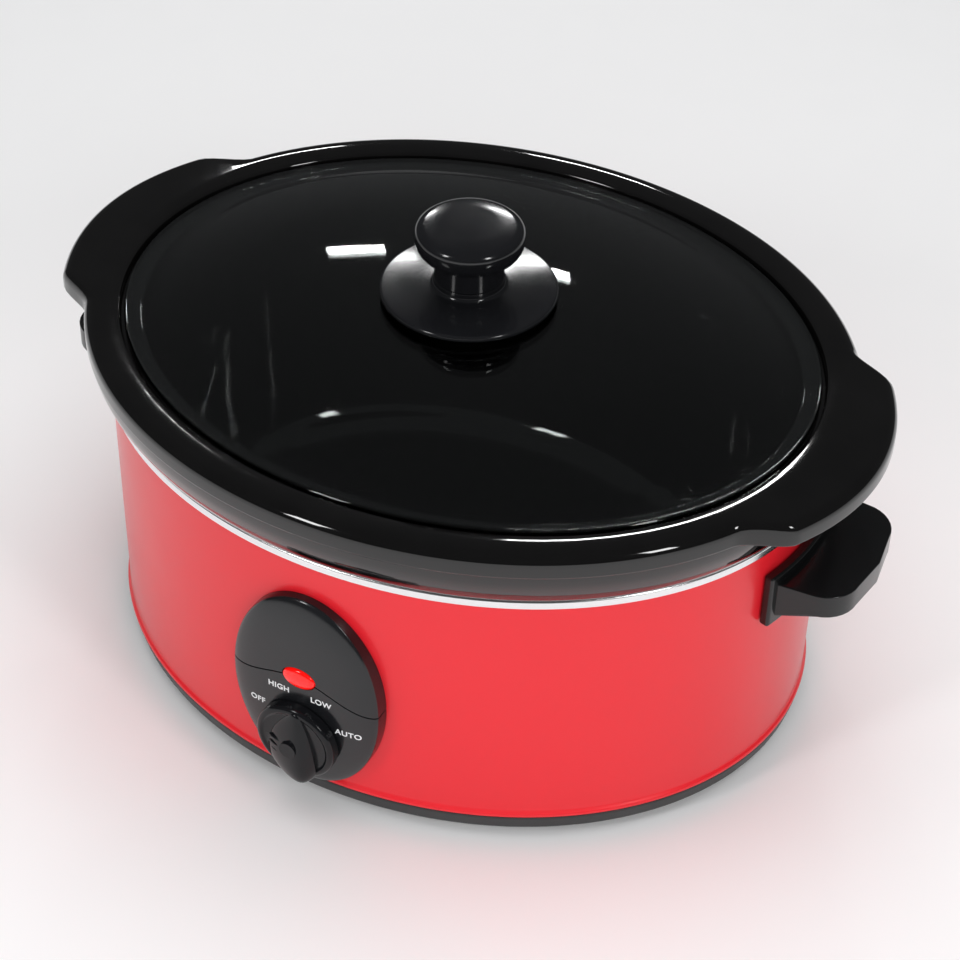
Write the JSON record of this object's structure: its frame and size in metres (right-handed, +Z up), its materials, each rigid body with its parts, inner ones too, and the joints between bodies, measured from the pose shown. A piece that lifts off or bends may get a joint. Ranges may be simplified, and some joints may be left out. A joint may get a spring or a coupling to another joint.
{
  "type": "slow cooker",
  "caption": "Oval electric slow cooker with a painted steel casing, a lift-out stoneware crock with end wings, a domed glass lid, side handles and a rotary heat dial.",
  "frame": {"origin": "centre of the base tray's flat underside; the rubber feet reach 3 mm below it", "axes": "+Z up, +X along the oval's length towards the right side handle, -Y towards the control panel at the front"},
  "size_m": [0.329, 0.2551, 0.185],
  "materials": {
    "red_paint": "gloss",
    "liner_steel": "satin",
    "zinc_steel": "satin",
    "stoneware": "gloss",
    "black_plastic": "gloss",
    "tray_plastic": "matte",
    "rubber": "matte",
    "lid_glass": "gloss",
    "red_lens": "gloss",
    "lamp_glass": "gloss",
    "heater_foil": "satin",
    "white_plastic": "matte",
    "lead_red": "matte",
    "lead_blue": "matte"
  },
  "bodies": {
    "base": {"base_tray": "tray_plastic", "base_screw_left": "zinc_steel", "base_screw_right": "zinc_steel", "cross_bracket": "zinc_steel", "rubber_foot_1": "rubber", "rubber_foot_2": "rubber", "rubber_foot_3": "rubber", "rubber_foot_4": "rubber", "outer_casing": "red_paint", "inner_liner": "liner_steel", "heating_band": "heater_foil", "band_spring_lower": "zinc_steel", "band_spring_upper": "zinc_steel", "thermal_fuse": "zinc_steel", "fuse_bracket": "zinc_steel", "terminal_block": "white_plastic", "lead_live": "lead_red", "lead_neutral": "lead_blue", "lead_fuse_in": "lead_red", "lead_fuse_out": "lead_red", "bezel_upper": "black_plastic", "bezel_lower": "black_plastic", "bezel_screw_upper": "zinc_steel", "bezel_screw_lower": "zinc_steel", "indicator_lens": "red_lens", "indicator_lamp": "lamp_glass", "rotary_switch": "white_plastic", "switch_nut": "zinc_steel", "side_handle_right": "black_plastic", "side_handle_left": "black_plastic", "handle_screw_left_front": "zinc_steel", "handle_screw_left_rear": "zinc_steel", "handle_screw_right_front": "zinc_steel", "handle_screw_right_rear": "zinc_steel", "cord_gland": "rubber"},
    "dial": {"dial_knob": "black_plastic", "switch_shaft": "zinc_steel"},
    "crock": {"stoneware_crock": "stoneware"},
    "lid": {"lid_glass": "lid_glass", "knob_skirt": "black_plastic", "knob_top": "black_plastic", "knob_washer": "rubber", "knob_screw": "zinc_steel"}
  },
  "joints": [
    {"name": "dial_turn", "type": "hinge", "parent": "base", "child": "dial", "pos_m": [0, -0.124, 0.0355], "axis": [0, -1, 0], "range_deg": [-67.5, 67.5]},
    {"name": "crock_lift", "type": "slide", "parent": "base", "child": "crock", "axis": [0, 0, 1], "range_m": [0, 0.18]},
    {"name": "lid_lift", "type": "slide", "parent": "crock", "child": "lid", "axis": [0, 0, 1], "range_m": [0, 0.12]}
  ]
}
